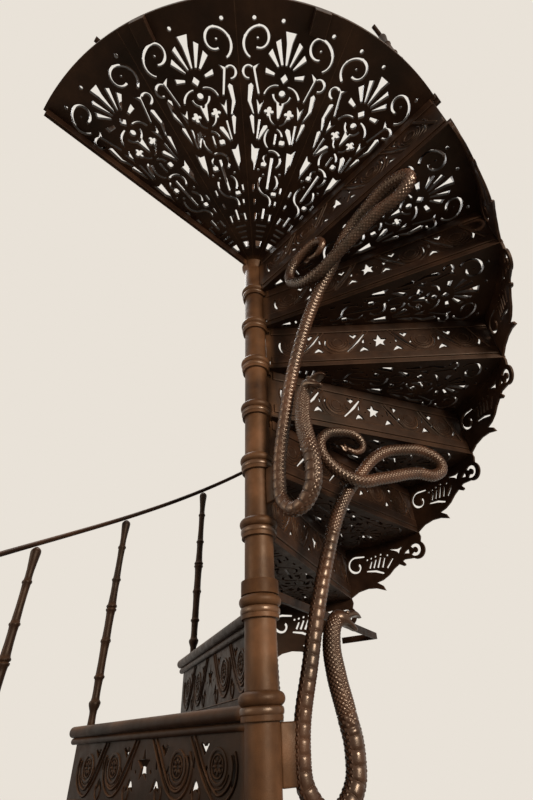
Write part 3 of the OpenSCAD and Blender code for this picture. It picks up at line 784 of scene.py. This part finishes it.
class STAIR_OT_balusters(bpy.types.Operator):
    """Turns a jointed baluster and sets a copy on each tread and along the landing"""
    bl_idname = "stair.balusters"
    bl_label = "Turn the balusters"

    def execute(self, context):
        profile = [(r / 1000, z / 1000) for r, z in BALUSTER]
        for name, replaced, steps in (("turned_balusters_lower", "balusters_lower", range(1, 9)),
                                      ("turned_balusters_upper", "balusters_upper", range(9, 17))):
            model = turned("baluster", profile, 20)
            model.location = (RAIL_R, -BALUSTER_BACK, 0)
            settle(model)
            only(model)
            bpy.ops.object.shade_smooth_by_angle(angle=math.radians(55))
            place_copies(model, name, [(riser_angle(n), n * RISE) for n in steps], replaced=(replaced,))
        row = []
        for k in range(1, 6):
            one = turned("baluster", profile, 20)
            one.location = (NEWEL_R + (RAIL_R - NEWEL_R) * k / 5, GUARD_IN, 0)
            settle(one)
            row.append(one)
        model = joined(row, "row")
        only(model)
        bpy.ops.object.shade_smooth_by_angle(angle=math.radians(55))
        place_copies(model, "turned_guard_balusters", [(LANDING_ANGLE - 4 * TREAD_TURN, RISES * RISE)],
                     replaced=("guard_balusters",))
        return {"FINISHED"}


class STAIR_OT_handrail(bpy.types.Operator):
    """Bends the round handrail over the balusters"""
    bl_idname = "stair.handrail"
    bl_label = "Bend the handrail"

    def execute(self, context):
        back = math.degrees(math.atan(BALUSTER_BACK / RAIL_R))
        slope = math.atan(RISE / (RAIL_R * math.radians(TREAD_TURN)))
        girth = context.scene.stair_sizes.rail_girth
        over = BALUSTER_H - BALL_R + (BALL_R + girth + SEAT) / math.cos(slope)
        first, last = riser_angle(1) - back + 3, riser_angle(RISES) - back - 3
        line = []
        for j in range(163):
            a = first + (last - first) * j / 162
            z = RISE + over + (riser_angle(1) - back - a) / TREAD_TURN * RISE
            line.append((RAIL_R * math.cos(math.radians(a)), RAIL_R * math.sin(math.radians(a)), z))
        rail = bead_lines("round_handrail", [line], girth, 4)
        only(rail)
        bpy.ops.object.shade_smooth_by_angle(angle=math.radians(50))
        rail.data.materials.clear()
        rail.data.materials.append(bpy.data.materials["painted_wrought_iron"])
        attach(rail, "root")
        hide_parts("handrail")
        return {"FINISHED"}


class STAIR_OT_serpents(bpy.types.Operator):
    """Models a serpent with its scales and head and hangs a copy on each bracket's place"""
    bl_idname = "stair.serpents"
    bl_label = "Carve the serpents"

    def execute(self, context):
        line = serpent_line()
        length = line.data.splines[0].calc_length()
        skin = serpent_skin(length, context.scene.stair_sizes)
        bend = skin.modifiers.new("bend", "CURVE")
        bend.object = line
        bend.deform_axis = "POS_X"
        rounded = skin.modifiers.new("rounded", "SUBSURF")
        rounded.levels = rounded.render_levels = 1
        finish_modifiers(skin)
        only(line)
        bpy.ops.object.delete()
        edit(skin, "EDGE")
        pick(skin, "EDGE", lambda e: e.is_boundary)
        bpy.ops.mesh.edge_face_add()
        bpy.ops.object.mode_set(mode="OBJECT")
        parts = [skin, serpent_head(), tail_leaf(), serpent_lug()]
        # The plain lug isn't rubbed as the scales are
        for part, paint in zip(parts, ["serpent_painted_cast_iron"] * 3 + ["oil_painted_cast_iron"]):
            part.data.materials.clear()
            part.data.materials.append(bpy.data.materials[paint])
        model = joined(parts, "serpent_model")
        only(model)
        bpy.ops.object.shade_smooth_by_angle(angle=math.radians(50))
        for k in range(1, 5):
            n = RISES - (k - 1) * 3
            twin = copy_turned(model, "scaled_serpent_%d" % k, riser_angle(n), (n - 1) * RISE - PLATE_T)
            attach(twin, "root")
            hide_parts("serpent_%d" % k)
        only(model)
        bpy.ops.object.delete()
        return {"FINISHED"}


class STAIR_OT_stage(bpy.types.Operator):
    """Adds the floor, the soft lamps and the camera"""
    bl_idname = "stair.stage"
    bl_label = "Set the stage"

    def execute(self, context):
        scene = context.scene
        rest()
        bpy.ops.mesh.primitive_circle_add(vertices=96, radius=7.0, fill_type="NGON", location=(0, 0, 0))
        floor = context.object
        floor.name = "floor"
        # Trowelled plaster, matt and a little warm
        material, _, shader = new_material("pale_plaster_floor")
        shader.inputs["Base Color"].default_value = linear("#d9d4cc")
        shader.inputs["Roughness"].default_value = 0.8
        floor.data.materials.append(material)

        world = bpy.data.worlds.new("studio")
        scene.world = world
        world.use_nodes = True
        tree = world.node_tree
        rays = add_node(tree, "ShaderNodeLightPath")
        bright = add_node(tree, "ShaderNodeMath", {0: rays.outputs["Is Glossy Ray"],
                          1: rays.outputs["Is Transmission Ray"]}, operation="MAXIMUM")
        seen = add_node(tree, "ShaderNodeMath", {0: rays.outputs["Is Camera Ray"], 1: bright.outputs[0]},
                        operation="MAXIMUM")
        light = tree.nodes["Background"]
        light.inputs["Color"].default_value = linear("#f2ece4")
        light.inputs["Strength"].default_value = 0.38
        pale = add_node(tree, "ShaderNodeBackground", None, {"Color": linear("#e9e2d8"), "Strength": 1.0})
        both = add_node(tree, "ShaderNodeMixShader", {0: seen.outputs[0]})
        tree.links.new(light.outputs[0], both.inputs[1])
        tree.links.new(pale.outputs[0], both.inputs[2])
        tree.links.new(both.outputs[0], tree.nodes["World Output"].inputs["Surface"])

        for name, spot, target, size, spread, watts, tint in (
                ("key", (2.6, -3.6, 2.9), (0.0, 0, 2.1), 1.3, 95, 105, "#fff0df"),
                ("fill", (-4.2, -1.6, 2.9), (0.0, 0, 2.4), 2.6, 110, 36, "#ffe6cc"),
                ("top", (-1.0, 1.4, 6.6), (0.2, 0, 2.4), 2.4, 180, 150, "#ffffff")):
            data = bpy.data.lights.new(name, "AREA")
            data.shape = "DISK"
            data.spread = math.radians(spread)
            data.size = size
            data.energy = watts
            data.color = linear(tint)[:3]
            lamp = bpy.data.objects.new(name, data)
            lamp.location = spot
            lamp.rotation_euler = (Vector(target) - Vector(spot)).to_track_quat("-Z", "Y").to_euler()
            scene.collection.objects.link(lamp)

        data = bpy.data.cameras.new("photo_view")
        data.lens = 19.58
        data.sensor_width = 36.0
        data.shift_x = -0.0223
        data.shift_y = -0.0076
        data.clip_start = 0.05
        camera = bpy.data.objects.new("photo_view", data)
        # The camera's turn as resectioned from the photograph: to the right of +Y, up, and its tilt
        yaw, pitch, roll = (math.radians(a) for a in (0.93, 38.03, -3.9))
        ahead = Vector((math.sin(yaw) * math.cos(pitch), math.cos(yaw) * math.cos(pitch), math.sin(pitch)))
        level = Vector((math.cos(yaw), -math.sin(yaw), 0))
        over = level.cross(ahead)
        right = level * math.cos(roll) + over * math.sin(roll)
        up = over * math.cos(roll) - level * math.sin(roll)
        turn = Matrix((right, up, -ahead)).transposed().to_4x4()
        camera.matrix_world = Matrix.Translation((0.0774, -1.1832, 1.5408)) @ turn
        scene.collection.objects.link(camera)
        scene.camera = camera
        scene.view_settings.view_transform = "Standard"
        return {"FINISHED"}


class STAIR_PT_panel(bpy.types.Panel):
    """Sizes, colours and steps of the stair"""
    bl_idname = "STAIR_PT_panel"
    bl_label = "Spiral stair"
    bl_space_type = "VIEW_3D"
    bl_region_type = "UI"
    bl_category = "Stair"

    def draw(self, context):
        for group_name, group in GROUPS.items():
            for name in group.__annotations__:
                self.layout.prop(getattr(context.scene, group_name), name)
        for step in STEPS:
            self.layout.operator(step.bl_idname)


STEPS = (STAIR_OT_paint, STAIR_OT_riser_relief, STAIR_OT_newel_mouldings, STAIR_OT_balusters,
         STAIR_OT_handrail, STAIR_OT_serpents, STAIR_OT_stage)
GROUPS = {"stair_sizes": STAIR_PG_sizes, "stair_dark_paint": STAIR_PG_dark_paint,
          "stair_handled_paint": STAIR_PG_handled_lit_paint, "stair_serpent_paint": STAIR_PG_serpent_paint}
CLASSES = tuple(GROUPS.values()) + STEPS + (STAIR_PT_panel,)


def register():
    for one in CLASSES:
        bpy.utils.register_class(one)
    for name, group in GROUPS.items():
        setattr(bpy.types.Scene, name, bpy.props.PointerProperty(type=group))


def unregister():
    for name in GROUPS:
        delattr(bpy.types.Scene, name)
    for one in reversed(CLASSES):
        bpy.utils.unregister_class(one)


def main():
    register()
    bpy.ops.stair.paint()
    bpy.ops.stair.riser_relief()
    bpy.ops.stair.newel_mouldings()
    bpy.ops.stair.balusters()
    bpy.ops.stair.handrail()
    bpy.ops.stair.serpents()
    bpy.ops.stair.stage()


if __name__ == "__main__":
    main()
